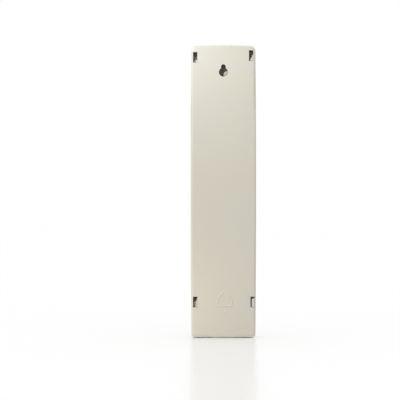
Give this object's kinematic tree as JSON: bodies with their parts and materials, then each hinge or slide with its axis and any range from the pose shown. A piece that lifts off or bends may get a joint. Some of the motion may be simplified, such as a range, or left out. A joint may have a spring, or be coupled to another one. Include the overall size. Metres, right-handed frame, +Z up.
{
  "type": "video intercom monitor",
  "caption": "Slim wall-hung door intercom monitor with a portrait display, a speaker bulge, press keys, side vents and a keyhole in its clipped back cover.",
  "frame": {"origin": "centre of the flat rear face that lies against the wall, half way up the body", "axes": "+Y out of the rear face into the wall, the front looks along -Y; +Z up along the body's height; +X to the right as seen from the front"},
  "size_m": [0.056, 0.0199, 0.25],
  "materials": {
    "casing": "fine satin moulded ABS, warm ivory grey",
    "key_cap": "satin ABS key caps",
    "display_glass": "smoked acrylic window, black printed border",
    "lcd_glass": "polariser",
    "white_plastic": "moulded",
    "black_plastic": "moulded",
    "black_tape": "double-sided foam tape",
    "foam": "closed-cell foam",
    "ribbon_film": "polyimide film",
    "cream_plastic": "moulded",
    "board": "glass-epoxy laminate with solder mask",
    "steel": "zinc plated",
    "chip": "moulding compound",
    "can_metal": "drawn can",
    "ferrite": "sintered ferrite",
    "cone_paper": "pressed paper",
    "lead_insulation": "PVC insulation",
    "clear_plastic": "clear polycarbonate",
    "led_body": "moulded",
    "black_rubber": "silicone",
    "contact_gold": "plated",
    "plunger_plastic": "moulded"
  },
  "bodies": {
    "root": {"amplifier_chip": "chip", "back_cover": "casing", "board_screws": "steel", "capacitors": "can_metal", "clamp_screws": "steel", "crystal": "can_metal", "display_window": "display_glass", "front_shell": "casing", "inductor": "ferrite", "lcd_backlight": "white_plastic", "lcd_holder": "black_plastic", "lcd_panel": "lcd_glass", "lcd_ribbon": "ribbon_film", "light_pipe": "clear_plastic", "line_contacts": "contact_gold", "line_socket": "black_plastic", "main_board": "board", "memory_chip": "chip", "microphone_boot": "black_rubber", "microphone_capsule": "can_metal", "monitor_switch": "black_plastic", "panel_gasket": "foam", "processor_chip": "chip", "ribbon_connector": "cream_plastic", "speaker_basket": "can_metal", "speaker_clamp": "casing", "speaker_cone": "cone_paper", "speaker_gasket": "foam", "speaker_leads": "lead_insulation", "speaker_magnet": "ferrite", "speaker_plug": "cream_plastic", "status_led": "led_body", "talk_switch": "black_plastic", "unlock_switch": "black_plastic", "volume_down_switch": "black_plastic", "volume_up_switch": "black_plastic", "window_tape": "black_tape"},
    "talk_key": {"talk_button": "key_cap", "talk_plunger": "plunger_plastic"},
    "unlock_key": {"unlock_button": "key_cap", "unlock_plunger": "plunger_plastic"},
    "monitor_key": {"monitor_button": "key_cap", "monitor_plunger": "plunger_plastic"},
    "volume_up_key": {"volume_up_button": "key_cap", "volume_up_plunger": "plunger_plastic"},
    "volume_down_key": {"volume_down_button": "key_cap", "volume_down_plunger": "plunger_plastic"}
  },
  "joints": [
    {"name": "talk_press", "type": "slide", "parent": "root", "child": "talk_key", "axis": [0, 1, 0], "range_m": [0, 0.0004], "stiffness_N_per_m": 600, "springref_m": -0.0005},
    {"name": "unlock_press", "type": "slide", "parent": "root", "child": "unlock_key", "axis": [0, 1, 0], "range_m": [0, 0.0004], "stiffness_N_per_m": 600, "springref_m": -0.0005},
    {"name": "monitor_press", "type": "slide", "parent": "root", "child": "monitor_key", "axis": [0, 1, 0], "range_m": [0, 0.0004], "stiffness_N_per_m": 600, "springref_m": -0.0005},
    {"name": "volume_up_press", "type": "slide", "parent": "root", "child": "volume_up_key", "axis": [0, 1, 0], "range_m": [0, 0.0004], "stiffness_N_per_m": 600, "springref_m": -0.0005},
    {"name": "volume_down_press", "type": "slide", "parent": "root", "child": "volume_down_key", "axis": [0, 1, 0], "range_m": [0, 0.0004], "stiffness_N_per_m": 600, "springref_m": -0.0005}
  ]
}
